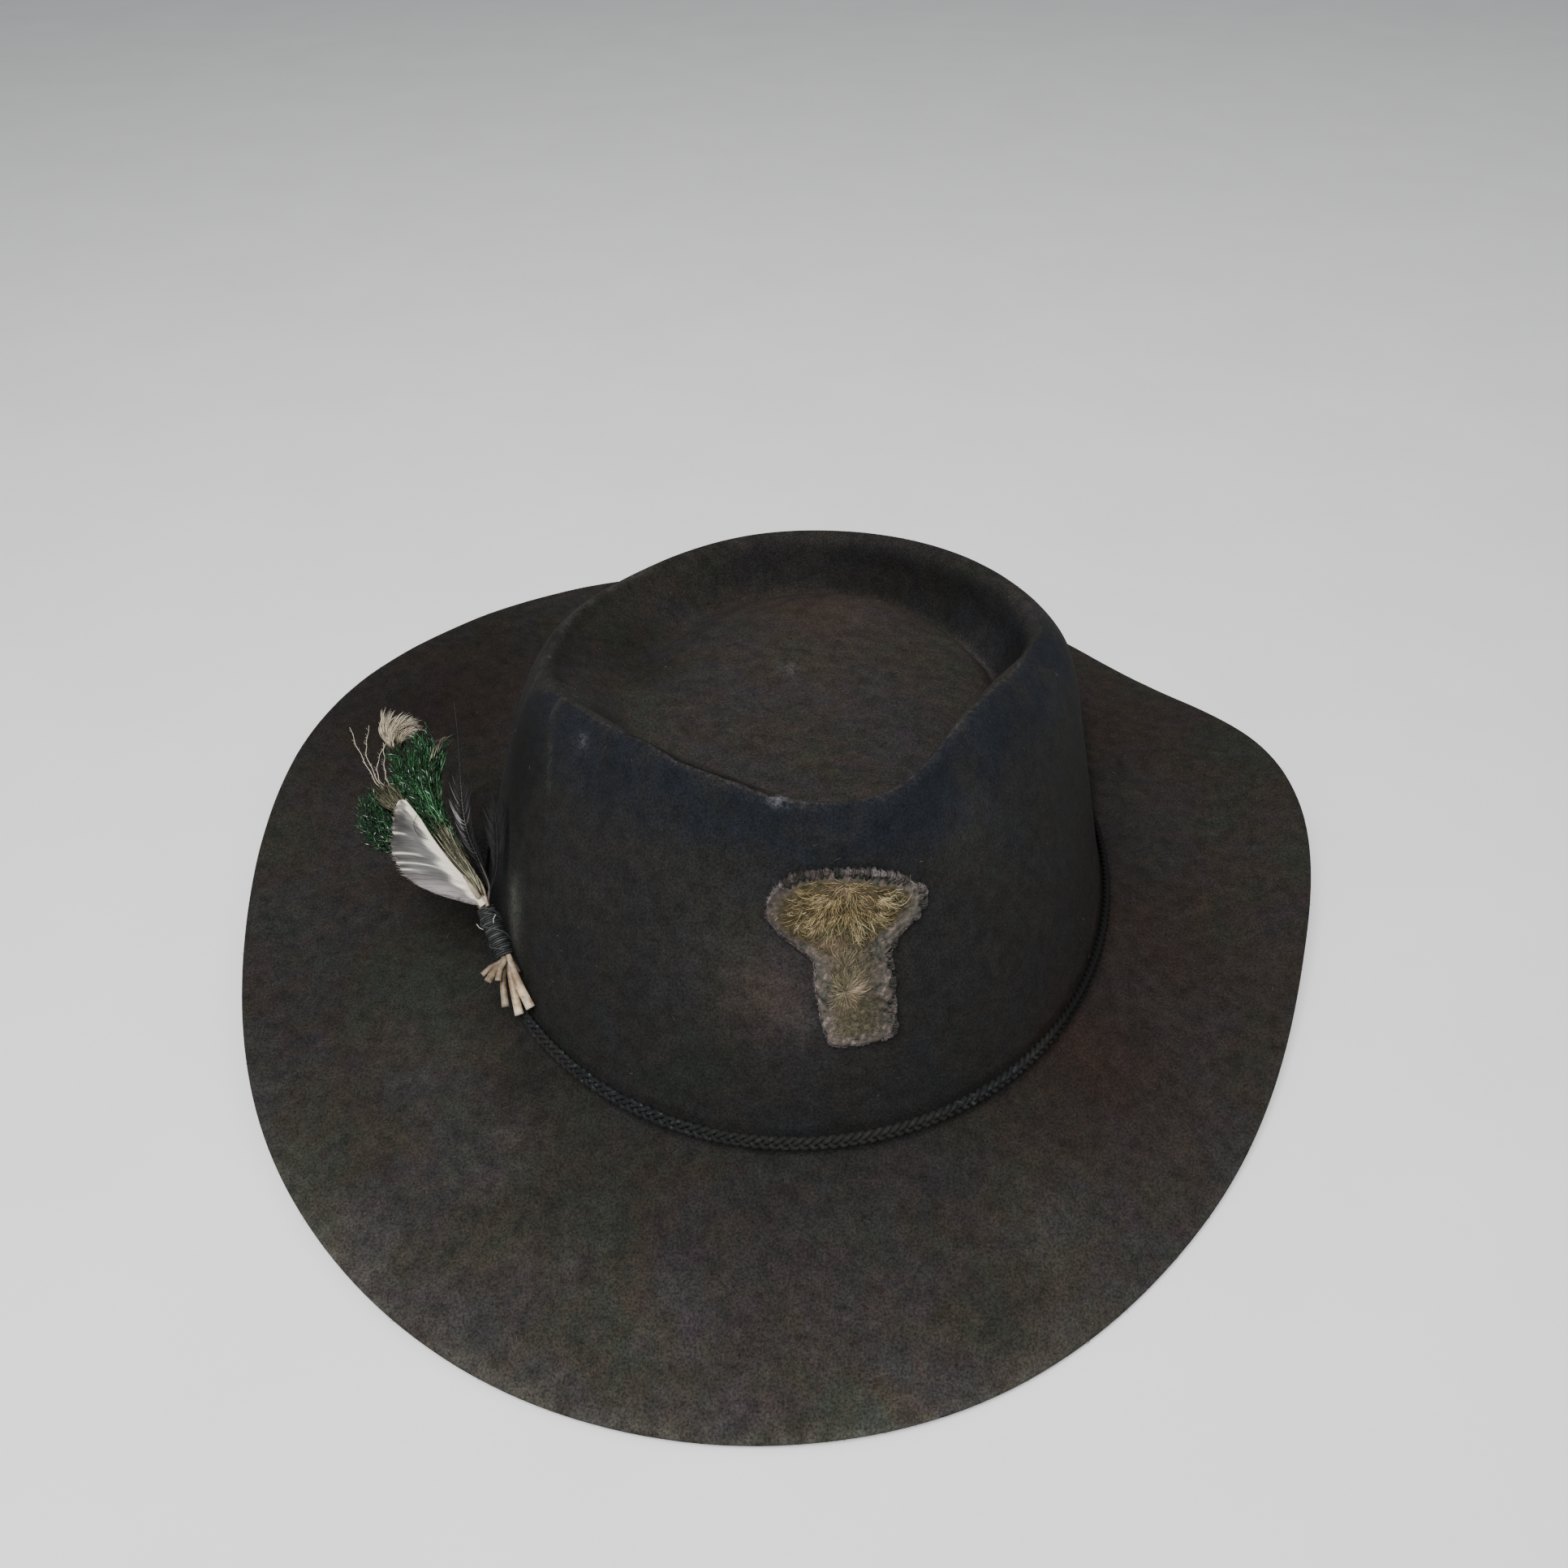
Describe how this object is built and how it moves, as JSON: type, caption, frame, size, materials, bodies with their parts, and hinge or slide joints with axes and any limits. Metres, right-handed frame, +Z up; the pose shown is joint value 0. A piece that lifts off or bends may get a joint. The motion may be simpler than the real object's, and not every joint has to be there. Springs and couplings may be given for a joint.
{
  "type": "wide-brim felt hat",
  "caption": "Worn dark felt hat with a dished crown, wide gently rolled brim, base braid, goldwork patch and a small bundle of feathers.",
  "frame": {"origin": "on the floor under the middle of the hat's box", "axes": "+Z up, the front of the hat with its patch along -Y, +Y the length of the hat, +X to the right seen from the front"},
  "size_m": [0.319, 0.3428, 0.1042],
  "materials": {
    "wool_felt": "matt worn wool felt, faded brown above, blue black in the folds",
    "braid": "dark twin cord braid, dull",
    "patch_cloth": "frayed buttonholed grey brown cloth",
    "bullion": "tarnished coiled metal thread",
    "binding_thread": "dark waxed thread",
    "pale_feather": "pale grey feather with cream shaft",
    "green_herl": "iridescent green feather herl",
    "tan_down": "tan downy feather tip",
    "dark_feather": "slender dark grey feather"
  },
  "bodies": {
    "root": {"felt_body": "wool_felt", "base_braid": "braid", "patch_backing": "patch_cloth", "bullion_field": "bullion", "thread_binding": "binding_thread", "white_feather": "pale_feather", "large_herl": "green_herl", "small_herl": "green_herl", "down_tuft": "tan_down", "dark_feathers": "dark_feather"}
  },
  "joints": []
}
